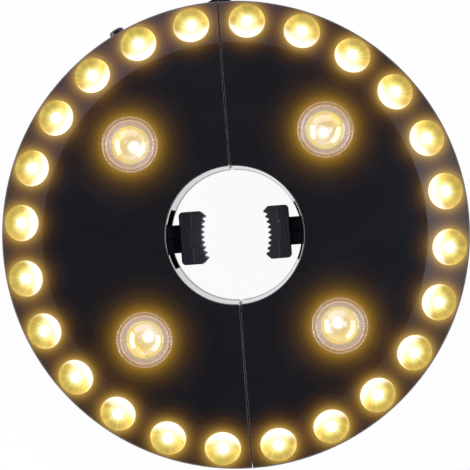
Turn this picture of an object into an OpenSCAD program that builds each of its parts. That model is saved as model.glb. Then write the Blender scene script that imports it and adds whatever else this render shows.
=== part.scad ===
// Clip-on umbrella pole light: a disc of two hinged halves that closes round a pole.
// Millimetres. The disc lies on its back: the origin is where the pole's axis meets the
// back plane, +Z runs along the pole towards the lamp face, and +Y along the seam to the hinge.

/* [Body] */
// Outer diameter of the disc
body_d = 200; // [198:1:220]
// Thickness from the back plane to the front face
body_t = 40; // [39.5:0.5:44]
// Height of the joint between the rear and front shells
split_z = 22; // [21.8:0.2:23]
// Wall thickness of the shells
wall = 2.2; // [1.8:0.1:2.6]
// Diameter of the hole that the pole goes through
hole_d = 58.6; // [58:0.1:61]
// Gap between the two halves along the seam
seam_gap = 0.3; // [0.2:0.1:0.6]
// Rounding of the rear edge of the rim
rear_round = 5; // [3:0.5:6]
// Chamfer round the mouth of the hole
hole_chamfer = 0.4; // [0.2:0.1:1.2]

/* [Lamp face] */
// Width of the sloped band round the face
band_w = 18.5; // [18:0.1:19]
// Slope of the band, which tips the small lamps outwards
band_slope = 15; // [12:1:16]
// Small lamps in each half
ring_count = 12; // [6:1:12]
// Distance of the small lamps inside the rim
ring_inset = 9; // [8.8:0.1:9.2]
// Outer diameter of a reflector cup
cup_d = 16; // [14:0.1:16]
// Depth of the dish of a reflector cup
cup_depth = 2.4; // [2:0.1:3]
// Diameter of a small lamp's body
led_d = 5; // [4:0.1:5.4]
// Length of a small lamp with its flange
led_l = 8.6; // [8.4:0.1:9]
// Height of a small lamp's tip over the lip of its cup
led_out = 2.2; // [1.6:0.1:2.4]
// Radius of the circle that the four spot lenses stand on
spot_r = 58.7; // [57:0.1:60]
// Diameter of a spot lens over its flange
lens_d = 23.8; // [22:0.1:25]
// Diameter of the lens's clear dome
dome_d = 15.4; // [13:0.1:16]
// Height of the dome over the face
dome_h = 3.6; // [2:0.1:5]
// Thickness of the lamp board
board_t = 1.6; // [1:0.1:1.8]

/* [Clamp] */
// Gap between the two jaws' middle tooth tips
jaw_gap = 28.4; // [27.4:0.2:30]
// Travel of each jaw
jaw_travel = 10.5; // [8:0.5:10.5]
// Width of a jaw along the seam
jaw_w = 22.8; // [21:0.2:24]
// Height of a jaw along the pole
jaw_h = 24; // [20:1:28]
// Thickness of the jaw's back plate
jaw_plate_t = 5.5; // [5:0.1:6]
// Thickness of the rubber pad from its back to its middle tooth tip
pad_t = 4; // [3.8:0.1:4.6]
// Teeth on a pad
tooth_count = 9; // [5:1:11]
// Depth of a tooth
tooth_depth = 1.5; // [0.8:0.05:1.7]
// Radius of the hollow that the tooth tips lie on
grip_r = 30; // [28:1:60]
// Width of the stem that carries a jaw
stem_w = 12.2; // [11:0.1:13]
// Height of that stem
stem_h = 11; // [10:0.1:11.4]
// Wire diameter of the jaw springs
jaw_wire_d = 0.8; // [0.6:0.05:1]

/* [Hinge] */
// Radius of the hinge knuckles
knuckle_r = 3.4; // [3.2:0.1:3.8]
// Diameter of the hinge pin
pin_d = 2.4; // [2:0.1:2.6]
// Distance of the hinge pin outside the rim
pin_out = 1.2; // [1:0.1:1.6]
// Length of each of the four hinge knuckles
knuckle_l = 2.6; // [2.2:0.1:2.8]
// Wire diameter of the closing spring
hinge_wire_d = 0.8; // [0.6:0.05:0.9]
// Full turns of the closing spring
hinge_turns = 4; // [3:1:4]

/* [Power] */
// Diameter of a battery cell
cell_d = 14.5; // [14.2:0.1:14.5]
// Length of a battery cell with its button
cell_l = 50.5; // [49.2:0.1:50.5]
// Diameter of the push button
button_d = 6.7; // [6:0.1:8]
// Height that the push button stands out of the rim
button_out = 5.4; // [4.6:0.1:6]
// Travel of the push button
button_travel = 1.3; // [0.8:0.1:1.4]
// Angle of the push button round the rim, from the seam's hinge end
button_angle = 26.3; // [24:0.1:28]

/* [Back] */
// Thickness of a battery door
door_t = 1.8; // [1.6:0.1:1.9]
// Width of a folding hook
hook_w = 14; // [13:0.5:16]
// Thickness of a folding hook
hook_t = 3.6; // [3:0.1:3.8]
// Diameter of a housing screw's shank
screw_d = 2.6; // [2.2:0.1:2.8]

/* [Hidden] */

$fn = 96;
eps = 0.01;
far = 2 * body_d;
fit = 0.1;              // clearance of pieces that are set into each other
run = 0.05;             // radial clearance of a turning pin
body_r = body_d / 2;
hole_r = hole_d / 2;
edge_line = 0.3;        // chamfer on each side of the shells' joint line
seam_bevel = 0.25;      // bevel along the seam on the lamp face
lip_h = 1.2;            // lip of the front shell that enters the rear one
lip_t = 0.9;
rim_chamfer = 0.7;

// Lamp face
band_r = body_r - band_w;
skin_drop = wall / cos(band_slope);   // the face's thickness under the sloped band
ring_r = body_r - ring_inset;
lamp_pitch = 180 / ring_count;
cup_wall = 0.35;
cup_proud = 0.15;
cup_skin = 1;
led_flange_r = led_d / 2 + 0.4;
led_flange_t = 1;
led_seat = led_l - led_out;           // depth of the lamp's foot under the lip
neck_r = led_d / 2 + 1.6;
lamp_low = band_z(ring_r) - led_seat * cos(band_slope) - led_flange_r * sin(band_slope);
board_top = floor(10 * (lamp_low - fit)) / 10;
chip_w = 5;
chip_t = 1;
chip_dome_r = 3;
board_z = board_top - board_t;
lens_flange_t = 1.2;
lens_body_r = lens_d / 2 - 3;
spot_height = body_t - wall - board_top;

// Clamp
jaw_z = body_t / 2;
plate_x = jaw_gap / 2 + pad_t;
plate_back = plate_x + jaw_plate_t;
pocket_w = jaw_w + 2.7;
pocket_low = 5;
pocket_high = body_t - pocket_low;
pocket_wall = 1.8;
pocket_back = plate_back + jaw_travel + 1.1;
guide_wall = 1.5;
lug_out = 1.2;
lug_l = 4;
stem_end = pocket_back + pocket_wall + 0.3 + lug_l;
guide_x = pocket_back + pocket_wall + fit;
guide_end = stem_end + jaw_travel + 0.4;
guide_back = guide_end + guide_wall;
guide_w = stem_w + 2 * (lug_out + fit + guide_wall);
guide_h = stem_h + 2 * (fit + guide_wall);
stem_bore_r = 4.2;
stem_bore_x = plate_back + 4.6;
jaw_coil_r = stem_bore_r - 0.4 - jaw_wire_d / 2;
tooth_pitch = (jaw_w - 2) / tooth_count;
rib_t = 1.6;
rib_x = [guide_x + 3, guide_back - 4];

// Power
cell_gap = 0.6;
cell_z = door_t + 0.6 + cell_d / 2;
bay_x = guide_back + 2.9;
bay_w = 2 * cell_d + 3 * cell_gap;
bay_room = 8.3;         // for the springs and plates at the ends of a cell
bay_l = cell_l + bay_room;
bay_top = cell_z + cell_d / 2 + 0.4;
bay_wall = 2.8;
bay_mid = bay_x + bay_w / 2;
cell_x = [bay_x + cell_gap + cell_d / 2, bay_x + bay_w - cell_gap - cell_d / 2];
contact_t = 0.5;
contact_w = 10;
contact_h = 11;
ridge_l = 14;
ridge_r = 0.7;
cell_wire_d = 0.7;
door_lip = 1.5;
door_gap = 0.25;
door_z = 0.2;
door_axis_y = bay_l / 2 + door_lip - door_t / 2;
door_pin_r = 0.8;
door_pin_l = 1;

// Push button: along its own line out from the pole's axis
button_z = 13;
button_flange_r = button_d / 2 + 1.4;
button_flange_t = 1.2;
button_seat = body_r - wall - 0.2;
button_back = button_seat - button_flange_t;
plunger_h = 0.7;
plunger_r = 1.7;
switch_w = 6;
switch_h = 3.5;
switch_top = button_back - button_travel - 1.6;
control_t = 1.6;
control_w = 18;
control_h = 15;
button_wire_d = 0.4;
button_coil_r = 3.2;
button_turns = 2;

// Back
boss_r = 3.2;
shoulder_r = 4.6;
boss_outer = 76;
boss_inner = 50;
// Radius and angle of each screw
boss_at = [[boss_outer, 34], [boss_outer, -34], [boss_inner, 76], [boss_inner, -76]];
screw_head_r = 2.75;
screw_head_t = 1.8;
screw_head_z = 1;
screw_top = body_t - 7;
hook_at = [26, 52];
hook_l = 16;
hook_bar = 4.1;
hook_z = 0.4;
hook_gap = 0.6;
hook_pin_r = 1;
hook_pin_l = 1.4;
hook_roof = 1.8;
hook_rim = 2;
hook_room = 3.5;         // for a finger at the tip

// Hinge
pin_y = body_r + pin_out;
notch_r = knuckle_r + 0.4;
knuckle_gap = 0.2;
barrel_low = 3;
pin_head_t = 0.8;
barrel_high = split_z - 0.5;
hinge_coil_r = knuckle_r - 0.5 - hinge_wire_d / 2;
leg_angle = 22;
leg_reach = 10;
arm_reach = 11.5;
spring_low = barrel_low + 2 * (knuckle_l + knuckle_gap);
spring_high = barrel_high - 2 * (knuckle_l + knuckle_gap);

shell_black = "#26252a";
chrome = "#d9d4c8";
lamp_warm = "#ffe9a8";
clear_lens = "#e8e6f0";
board_white = "#e6e4da";
rubber_black = "#1d1d1f";
steel = "#b9bcc2";
cell_silver = "#8f959c";

// ---- functions -----------------------------------------------------------------------

// Height of the face at a radius
function band_z(r) = body_t - max(0, r - band_r) * tan(band_slope);

// Points along an arc, from angle a to angle b
function arc(cx, cy, r, a, b, n) =
    [for (i = [0:n]) let (t = a + (b - a) * i / n) [cx + r * cos(t), cy + r * sin(t)]];

// Points of a coil round Z that starts at radius ra and ends at radius rb
function coil(ra, rb, z0, z1, from, turns, per_turn) =
    [for (i = [0:round(turns * per_turn)])
        let (s = i / round(turns * per_turn), a = from + 360 * turns * s, r = ra + (rb - ra) * s)
        [r * cos(a), r * sin(a), z0 + (z1 - z0) * s]];

// Directions at each point of a path
function along(p) = [for (i = [0:len(p) - 1])
    let (d = p[min(i + 1, len(p) - 1)] - p[max(i - 1, 0)]) d / norm(d)];

// Smallest space between turns of a wound path that lie more than half a turn apart
function least_gap(p, d, half_turn) =
    min([for (i = [0:len(p) - 1], j = [i + half_turn:len(p) - 1]) norm(p[i] - p[j])]) - d;

// ---- shared shapes -------------------------------------------------------------------

// A round wire along a path that winds about Z or runs level
module wire(p, d, sides = 6) {
    t = along(p);
    ring = [for (i = [0:len(p) - 1])
        let (u = cross([0, 0, 1], t[i]), side = u / norm(u), up = cross(t[i], side))
        each [for (k = [0:sides - 1]) let (a = 360 * k / sides)
            p[i] + d / 2 * (cos(a) * side + sin(a) * up)]];
    n = len(p);
    polyhedron(
        points = ring,
        faces = concat(
            [[for (k = [sides - 1:-1:0]) k]],
            [[for (k = [0:sides - 1]) (n - 1) * sides + k]],
            [for (i = [0:n - 2], k = [0:sides - 1])
                let (a = i * sides + k, b = i * sides + (k + 1) % sides)
                each [[a, b, b + sides], [a, b + sides, a + sides]]]),
        convexity = 10);
}

// A section in radius and height, turned through the right half of a circle
module half_turn(section) {
    rotate([0, 0, -90]) rotate_extrude(angle = 180, $fn = 144) polygon(section);
}

// Everything on the far side of the seam
module seam_cut(x = seam_gap / 2) {
    translate([x - far, -far / 2, -far / 4]) cube([far, far, far]);
}

// Places its children at each small lamp, with Z out along the lamp's axis
module at_ring_lamps() {
    for (i = [0:ring_count - 1])
        rotate([0, 0, -90 + lamp_pitch * (i + 0.5)])
            translate([ring_r, 0, band_z(ring_r)])
                rotate([0, band_slope, 0]) children();
}

// Places its children at one spot lens, on the face
module at_spot(up) {
    rotate([0, 0, up * 45]) translate([spot_r, 0, body_t]) children();
}

// Places its children at each screw
module at_screws() {
    for (b = boss_at) rotate([0, 0, b[1]]) translate([b[0], 0, 0]) children();
}

module place(side) {
    if (side > 0) children();
    else mirror([1, 0, 0]) children();
}

// The two hooks lie across the disc from each other, so that it hangs level
module at_hook(side) {
    if (side > 0) children();
    else mirror([0, 1, 0]) children();
}

// ---- shells --------------------------------------------------------------------------

function front_section() = [[hole_r, split_z], [body_r - edge_line, split_z],
    [body_r, split_z + edge_line], [body_r, band_z(body_r) - rim_chamfer],
    [body_r - rim_chamfer, band_z(body_r - rim_chamfer)], [band_r, body_t],
    [hole_r + hole_chamfer, body_t], [hole_r, body_t - hole_chamfer]];

function front_hollow() = [[hole_r + wall, split_z - 1], [body_r - wall, split_z - 1],
    [body_r - wall, band_z(body_r - wall) - skin_drop], [band_r, body_t - wall],
    [hole_r + wall, body_t - wall]];

// The lip stands inside the rear shell's rim and is rooted in the front shell's wall
function lip_section() = let (out = body_r - wall - fit, root = body_r - wall + 0.3)
    [[out - lip_t, split_z - lip_h + 0.3], [out - 0.3, split_z - lip_h],
     [out, split_z - lip_h + 0.3], [out, split_z], [root, split_z + 0.4],
     [root, split_z + 2], [out - lip_t, split_z + 1]];

function rear_section() = concat([[hole_r, hole_chamfer], [hole_r + hole_chamfer, 0]],
    arc(body_r - rear_round, rear_round, rear_round, -90, 0, 6),
    [[body_r, split_z - edge_line], [body_r - edge_line, split_z], [hole_r, split_z]]);

function rear_hollow() = concat([[hole_r + wall, split_z + 1], [hole_r + wall, wall]],
    arc(body_r - max(rear_round, wall + 0.5), max(rear_round, wall + 0.5),
        max(rear_round, wall + 0.5) - wall, -90, 0, 4),
    [[body_r - wall, split_z + 1]]);

// The hollow of a shell, closed along the seam by a flat wall
module hollow(section) {
    difference() {
        half_turn(section);
        seam_cut(seam_gap / 2 + wall);
    }
}

// Walls of the pocket that a jaw draws back into, between two heights
module pocket_walls(low, high) {
    start = sqrt(pow(hole_r + wall / 2, 2) - pow(pocket_w / 2 + pocket_wall / 2, 2));
    for (s = [-1, 1])
        translate([start, s > 0 ? pocket_w / 2 : -pocket_w / 2 - pocket_wall, low])
            cube([pocket_back + pocket_wall - start, pocket_wall, high - low]);
    translate([pocket_back, -pocket_w / 2 - 0.5, low])
        cube([pocket_wall, pocket_w + 1, high - low]);
}

// The mouth of the pocket in the hole's wall, and the stem's way through its back
module pocket_cuts() {
    translate([0, -pocket_w / 2, pocket_low])
        cube([hole_r + wall + 0.5, pocket_w, pocket_high - pocket_low]);
    translate([pocket_back - 1, -stem_w / 2 - fit, jaw_z - stem_h / 2 - fit])
        cube([pocket_wall + 2, stem_w + 2 * fit, stem_h + 2 * fit]);
}

// The corners that each half has cut off where the seam meets the hole
module seam_corners() {
    for (s = [-1, 1]) translate([0, s * hole_r, -1]) cylinder(r = 0.9, h = body_t + 2, $fn = 4);
}

// A cutter for a bevel w wide and w high along an edge that runs out from y = 0
module bevel_cutter(w, y0, y1) {
    side = w / sqrt(2);
    rotate([0, 45, 0]) translate([-1.4 * side, y0, -1.3 * side])
        cube([2.4 * side, y1 - y0, 2.6 * side]);
}

// Bevel along the seam, over the flat face and down the band at both ends
module seam_bevels() {
    translate([seam_gap / 2, 0, body_t]) {
        bevel_cutter(seam_bevel, -band_r, band_r);
        for (s = [-1, 1]) translate([0, s * band_r, 0]) rotate([-s * band_slope, 0, 0])
            bevel_cutter(seam_bevel, s > 0 ? 0 : -far / 4, s > 0 ? far / 4 : 0);
    }
}

module front_shell_half() {
    difference() {
        union() {
            difference() {
                half_turn(front_section());
                hollow(front_hollow());
            }
            difference() {
                half_turn(lip_section());
                seam_cut(seam_gap / 2 + wall + fit);
                translate([0, body_r - 3 * wall, 0]) cube([arm_reach + 0.5, far, far]);
            }
            pocket_walls(split_z, body_t - wall / 2);
            for (x = rib_x)
                translate([x, -guide_w / 2, jaw_z + guide_h / 2 + fit])
                    cube([rib_t, guide_w, body_t - wall / 2 - jaw_z - guide_h / 2 - fit]);
            at_screws() {
                translate([0, 0, split_z]) cylinder(r = boss_r, h = body_t - wall / 2 - split_z);
                translate([0, 0, board_top + fit])
                    cylinder(r = shoulder_r, h = body_t - wall / 2 - board_top - fit);
            }
        }
        seam_cut();
        seam_bevels();
        seam_corners();
        pocket_cuts();
        at_ring_lamps()
            translate([0, 0, -skin_drop - 3]) cylinder(d = cup_d + 2 * fit, h = skin_drop + 6);
        for (up = [-1, 1]) at_spot(up) {
            translate([0, 0, -lens_flange_t - fit]) cylinder(d = lens_d + 2 * fit, h = 5);
            translate([0, 0, -wall - 1]) cylinder(r = lens_body_r + fit, h = wall + 2);
        }
        at_screws() translate([0, 0, split_z - 1])
            cylinder(r = screw_d / 2 + run, h = screw_top - split_z + 2);
    }
}

// The outer plan of the battery bay's walls
module bay_block() {
    translate([bay_x - bay_wall, -bay_l / 2 - bay_wall, 0])
        cube([bay_w + 2 * bay_wall, bay_l + 2 * bay_wall, bay_top + 1.6]);
}

// The bay, the door's rebate and the holes for its hinge pins
module bay_cuts() {
    rebate = door_z + door_t + 0.1;
    translate([bay_x, -bay_l / 2, -1]) cube([bay_w, bay_l, bay_top + 1]);
    translate([bay_x - door_lip - door_gap, -bay_l / 2 - door_lip - door_gap, -1])
        cube([bay_w + 2 * (door_lip + door_gap), bay_l + 2 * (door_lip + door_gap), rebate + 1]);
    translate([bay_x - door_lip - door_pin_l - 0.2, door_axis_y, door_z + door_t / 2])
        rotate([0, 90, 0])
            cylinder(r = door_pin_r + run, h = bay_w + 2 * (door_lip + door_pin_l + 0.2));
    translate([bay_mid, -bay_l / 2 - door_lip, -3.2]) sphere(r = 5);
}

// The outer plan of the recess that a hook folds into
module hook_block() {
    depth = hook_z + hook_t + hook_gap + hook_roof;
    length = hook_l + hook_w / 2 + hook_t / 2 + 2 * hook_gap + hook_room + 2 * hook_rim;
    translate([hook_at[0] - hook_w / 2 - hook_gap - hook_rim,
        hook_at[1] - hook_t / 2 - hook_gap - hook_rim, 0])
        cube([hook_w + 2 * (hook_gap + hook_rim), length, depth]);
}

module hook_cuts() {
    translate([hook_at[0] - hook_w / 2 - hook_gap, hook_at[1] - hook_t / 2 - hook_gap, -1])
        cube([hook_w + 2 * hook_gap, hook_l + hook_w / 2 + hook_t / 2 + 2 * hook_gap + hook_room,
            1 + hook_z + hook_t + hook_gap]);
    translate([hook_at[0] - hook_w / 2 - hook_pin_l, hook_at[1], hook_z + hook_t / 2])
        rotate([0, 90, 0]) cylinder(r = hook_pin_r + run, h = hook_w + 2 * hook_pin_l);
}

// One hinge knuckle with the arm that joins it to the right half's rim
module knuckle(low, high) {
    rim = sqrt(pow(body_r, 2) - pow(arm_reach, 2));
    translate([0, 0, low]) {
        translate([0, pin_y, 0]) cylinder(r = knuckle_r, h = high - low);
        linear_extrude(high - low)
            polygon([[0, pin_y + knuckle_r],
                [knuckle_r * sin(leg_angle), pin_y + knuckle_r * cos(leg_angle)],
                [arm_reach, rim], [arm_reach, rim - wall], [seam_gap / 2, rim - wall],
                [seam_gap / 2, pin_y - knuckle_r / 2], [0, pin_y - knuckle_r / 2]]);
    }
}

// Heights of the two knuckles that each half carries
function knuckles(side) = side > 0
    ? [[barrel_low, barrel_low + knuckle_l], [barrel_high - knuckle_l, barrel_high]]
    : [[barrel_low + knuckle_l + knuckle_gap, spring_low - knuckle_gap],
       [spring_high + knuckle_gap, barrel_high - knuckle_l - knuckle_gap]];

module at_button() {
    rotate([0, 0, 90 - button_angle]) translate([0, 0, button_z]) rotate([0, 90, 0]) children();
}

// Slotted posts that hold the control board behind the push button
module control_posts() {
    post = 3;
    rotate([0, 0, 90 - button_angle])
        for (s = [-1, 1]) difference() {
            translate([switch_top - switch_h - control_t - post / 2,
                s > 0 ? control_w / 2 - 1.5 : -control_w / 2 - 1.5, wall / 2])
                cube([control_t + post, 3, button_z + control_h / 2 - wall / 2]);
            translate([switch_top - switch_h - control_t - fit / 2,
                -control_w / 2 - fit, button_z - control_h / 2 - fit])
                cube([control_t + fit, control_w + 2 * fit, control_h + 2]);
        }
}

module rear_shell_half(side) {
    difference() {
        union() {
            difference() {
                half_turn(rear_section());
                hollow(rear_hollow());
                translate([0, pin_y, barrel_low - pin_head_t - 2 * knuckle_gap])
                    cylinder(r = notch_r, h = barrel_high - barrel_low + pin_head_t + 3 * knuckle_gap);
            }
            pocket_walls(wall / 2, split_z);
            bay_block();
            at_hook(side) hook_block();
            for (x = rib_x)
                translate([x, -guide_w / 2, wall / 2])
                    cube([rib_t, guide_w, jaw_z - guide_h / 2 - fit - wall / 2]);
            at_screws() cylinder(r = shoulder_r, h = split_z);
            if (side < 0) control_posts();
            for (k = knuckles(side)) knuckle(k[0], k[1]);
        }
        difference() {
            seam_cut();
            translate([0, pin_y, barrel_low - knuckle_gap])
                cylinder(r = knuckle_r, h = barrel_high - barrel_low + 2 * knuckle_gap);
        }
        seam_corners();
        pocket_cuts();
        bay_cuts();
        at_hook(side) hook_cuts();
        at_screws() {
            translate([0, 0, -1]) cylinder(r = screw_d / 2 + 0.3, h = split_z + 2);
            translate([0, 0, -1]) cylinder(r = screw_head_r + 0.3, h = 1 + screw_head_z + screw_head_t);
        }
        translate([0, pin_y, -1])
            cylinder(r = pin_d / 2 + (side > 0 ? eps : run), h = body_t);
        if (side < 0) at_button()
            translate([0, 0, button_seat - 3]) cylinder(r = button_d / 2 + fit, h = wall + 6);
    }
}

module front_shell_right() { color(shell_black) front_shell_half(); }
module front_shell_left() { color(shell_black) mirror([1, 0, 0]) front_shell_half(); }
module rear_shell_right() { color(shell_black) rear_shell_half(1); }
module rear_shell_left() { color(shell_black) mirror([1, 0, 0]) rear_shell_half(-1); }

// ---- lamps ---------------------------------------------------------------------------

// One flat board a half carries all its lamps on
module lamp_board(side) {
    color(board_white) place(side) difference() {
        half_turn([[hole_r + wall + 0.6, board_z], [body_r - wall - 0.6, board_z],
            [body_r - wall - 0.6, board_top], [hole_r + wall + 0.6, board_top]]);
        seam_cut(seam_gap / 2 + wall + 0.5);
        translate([0, -pocket_w / 2 - pocket_wall - 0.5, board_z - 1])
            cube([guide_back + 3, pocket_w + 2 * pocket_wall + 1, board_t + 2]);
        at_screws() translate([0, 0, board_z - 1]) cylinder(r = boss_r + 0.3, h = board_t + 2);
    }
}

// Half of a reflector cup's hollow: a parabola that opens to the lip, and the lamp's bore
function cup_hollow() = let (lip = cup_d / 2 - cup_wall, bore = led_d / 2 + 0.15,
        rise = cup_depth + cup_proud)
    concat([[0, -led_seat], [bore, -led_seat]],
        [for (i = [0:6]) let (r = bore + (lip - bore) * i / 6)
            [r, -cup_depth + rise * (r * r - bore * bore) / (lip * lip - bore * bore)]],
        [[lip, cup_proud + 1], [0, cup_proud + 1]]);

// Outside of a reflector cup: a collar in the face, a cone under the dish and a neck round the lamp
function cup_outside() = let (r = cup_d / 2, foot = led_flange_t - led_seat)
    [[0, foot], [neck_r, foot], [neck_r, -cup_depth - cup_skin], [r - 0.4, -1.9], [r, -1.5],
     [r, cup_proud - 0.1], [r - 0.1, cup_proud], [0, cup_proud]];

// The cups are one moulding with a sloped web that lies under the band
module reflector_ring(side) {
    inner = band_r + 0.9;
    outer = body_r - wall - 0.4;
    web_t = 1;
    web_in = band_z(inner) - skin_drop - fit;
    web_out = band_z(outer) - skin_drop - fit;
    color(chrome) place(side) difference() {
        union() {
            difference() {
                half_turn([[inner, web_in - web_t], [outer, web_out - web_t],
                    [outer, web_out], [inner, web_in]]);
                seam_cut(seam_gap / 2 + wall + 0.3);
            }
            at_ring_lamps() rotate_extrude($fn = 48) polygon(cup_outside());
        }
        at_ring_lamps() rotate_extrude($fn = 48) polygon(cup_hollow());
    }
}

// Round-topped lamps on a flange, one up through each cup
module ring_lamps(side) {
    r = led_d / 2;
    color(lamp_warm) place(side) at_ring_lamps()
        rotate_extrude($fn = 36) polygon(concat(
            [[0, -led_seat], [led_flange_r, -led_seat], [led_flange_r, led_flange_t - led_seat - fit],
             [r, led_flange_t - led_seat - fit]],
            arc(0, led_out - r, r, 0, 90, 6)));
}

module spot_reflectors(side) {
    top = lens_body_r - 0.3;
    foot = chip_w / sqrt(2) + 0.4;
    h = spot_height - fit;
    color(chrome) place(side) for (up = [-1, 1]) at_spot(up)
        translate([0, 0, -wall - fit - h + fit / 2]) rotate_extrude($fn = 48) polygon([
            [foot, 0], [foot + 1.1, 0], [foot + 1.1, 0.8], [top - 0.2, h - 1.6],
            [top + 0.6, h - 0.8], [top + 0.6, h - fit], [top - 0.8, h - fit],
            [top - 1.6, h - 2], [foot + 1.7, 3.4], [foot, 1.2]]);
}

// A square chip lamp with a low dome, at the bottom of each spot reflector
module spot_lamps(side) {
    color(lamp_warm) place(side) for (up = [-1, 1]) at_spot(up)
        translate([0, 0, -wall - spot_height]) {
            translate([-chip_w / 2, -chip_w / 2, 0]) cube([chip_w, chip_w, chip_t]);
            intersection() {
                translate([0, 0, 0.4 - chip_t]) sphere(r = chip_dome_r);
                translate([-chip_w / 2 + fit, -chip_w / 2 + fit, chip_t / 2])
                    cube([chip_w - 2 * fit, chip_w - 2 * fit, chip_dome_r]);
            }
        }
}

// Clear lens: a flange with two raised beads, a sunk ring and a dome
function lens_section() = let (f = lens_d / 2, d = dome_d / 2, foot = -0.4,
        dome = (d * d + pow(dome_h - foot, 2)) / (2 * (dome_h - foot)))
    concat([[0, -wall + 0.2], [lens_body_r, -wall + 0.2], [lens_body_r, -lens_flange_t],
        [f, -lens_flange_t], [f, 0.2], [f - 0.3, 0.4], [f - 0.7, 0.4], [f - 0.9, 0], [f - 1.5, 0],
        [f - 1.65, 0.35], [f - 1.95, 0.35], [f - 2.1, 0.05], [d + 0.5, -0.7]],
        [for (i = [0:12]) let (r = d * (1 - i / 12))
            [r, dome_h - dome + sqrt(dome * dome - r * r)]]);

module spot_lens(side, up) {
    color(clear_lens) place(side) at_spot(up) rotate_extrude($fn = 72) polygon(lens_section());
}

// ---- clamp ---------------------------------------------------------------------------

// Tooth tips lie on a hollow of radius grip_r, and the roots a tooth's depth behind it
function grip_x(y, back) = jaw_gap / 2 - grip_r + sqrt(pow(grip_r + back, 2) - y * y);

function tooth_edge() = [for (i = [0:tooth_count - 1])
    let (root = tooth_pitch * (i - tooth_count / 2), tip = root + tooth_pitch / 2)
    each concat(i > 0 ? [[grip_x(root, tooth_depth), root]] : [],
        [[grip_x(tip, 0), tip - 0.12], [grip_x(tip, 0), tip + 0.12]])];

// A line cut along both ends of a jaw at a distance x, as wide as w
module jaw_grooves(x, w) {
    for (s = [-1, 1]) translate([x, 0, jaw_z + s * jaw_h / 2]) rotate([0, 45, 0])
        cube([w / sqrt(2), jaw_w + 2, w / sqrt(2)], center = true);
}

// Rubber pad with its teeth, and the key that holds it in the jaw's back plate
module jaw_pad(side) {
    edge = jaw_w / 2;
    pad_end = 3.4;
    color(rubber_black) place(side) difference() {
        translate([0, 0, jaw_z - jaw_h / 2]) linear_extrude(jaw_h) polygon(concat(tooth_edge(),
            [[plate_x - pad_end, edge], [plate_x, edge], [plate_x, 4], [plate_x + 1.8, 5],
             [plate_x + 1.8, -5], [plate_x, -4], [plate_x, -edge], [plate_x - pad_end, -edge]]));
        jaw_grooves(plate_x, 0.3);
    }
}

// Back plate, hollow stem and the lugs that stop it at the end of its travel
module jaw_holder(side) {
    edge = jaw_w / 2;
    round_r = 1.8;
    mid_groove = 0.18;
    color(shell_black) place(side) difference() {
        union() {
            translate([0, 0, jaw_z - jaw_h / 2]) linear_extrude(jaw_h) polygon(concat(
                [[plate_x + eps, -edge]],
                arc(plate_back - round_r, -edge + round_r, round_r, -90, 0, 5),
                arc(plate_back - round_r, edge - round_r, round_r, 0, 90, 5),
                [[plate_x + eps, edge], [plate_x + eps, 4.06], [plate_x + 1.9, 5.1],
                 [plate_x + 1.9, -5.1], [plate_x + eps, -4.06]]));
            translate([plate_back - 1, -stem_w / 2, jaw_z - stem_h / 2])
                cube([stem_end - plate_back + 1, stem_w, stem_h]);
            translate([stem_end - lug_l, -stem_w / 2 - lug_out, jaw_z - 3])
                cube([lug_l, stem_w + 2 * lug_out, 6]);
        }
        translate([stem_bore_x, 0, jaw_z]) rotate([0, 90, 0]) cylinder(r = stem_bore_r, h = far);
        translate([plate_back + 1, 0, jaw_z + stem_h / 2]) rotate([0, 90, 0])
            rotate([0, 0, 45]) translate([-mid_groove, -mid_groove, 0])
                cube([2 * mid_groove, 2 * mid_groove, stem_end]);
        jaw_grooves(plate_back, 0.9);
        jaw_grooves(plate_back - 1.3, 0.3);
        jaw_grooves(plate_x, 0.3);
    }
}

// Sleeve that the stem slides in; its closed end carries the spring
module jaw_guide(side) {
    inner_w = stem_w + 2 * (lug_out + fit);
    inner_h = stem_h + 2 * fit;
    color(shell_black) place(side) difference() {
        translate([guide_x, -guide_w / 2, jaw_z - guide_h / 2])
            cube([guide_back - guide_x, guide_w, guide_h]);
        translate([guide_x - 1, -inner_w / 2, jaw_z - inner_h / 2])
            cube([guide_end - guide_x + 1, inner_w, inner_h]);
    }
}

function jaw_coil() = coil(jaw_coil_r, jaw_coil_r, stem_bore_x + jaw_wire_d / 2 + fit,
    guide_end - jaw_wire_d / 2 - fit, 0, 9, 12);

module jaw_spring(side) {
    color(steel) place(side) translate([0, 0, jaw_z]) rotate([0, 90, 0])
        wire(jaw_coil(), jaw_wire_d);
}

// ---- hinge ---------------------------------------------------------------------------

module hinge_pin() {
    r = pin_d / 2;
    end = pin_head_t + fit + barrel_high - barrel_low - 0.2;
    color(steel) translate([0, pin_y, barrel_low - pin_head_t - fit])
        rotate_extrude($fn = 48) polygon([[0, 0], [r + 0.6, 0], [r + 0.9, 0.3], [r + 0.9, pin_head_t],
            [r, pin_head_t], [r, end - 0.3], [r - 0.3, end], [0, end]]);
}

// A coil round the pin whose two legs lie on the outside of the two rims
function hinge_path() =
    let (r = hinge_coil_r, low = spring_low + 0.5 + hinge_wire_d / 2,
        high = spring_high - 0.5 - hinge_wire_d / 2,
        turns = hinge_turns + 2 * leg_angle / 360,
        leg = (leg_reach - r * sin(leg_angle)) / cos(leg_angle),
        out = [cos(leg_angle), -sin(leg_angle), 0],
        first = [r * sin(leg_angle), r * cos(leg_angle), low],
        last = [-first[0], first[1], high],
        over = [-out[0], out[1], 0])
    concat([first + out * leg, first + out * leg * 0.5],
        coil(r, r, low, high, 90 - leg_angle, turns, 16),
        [last + over * leg * 0.5, last + over * leg]);

module hinge_spring() {
    color(steel) translate([0, pin_y, 0]) wire(hinge_path(), hinge_wire_d);
}

// ---- power ---------------------------------------------------------------------------

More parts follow.
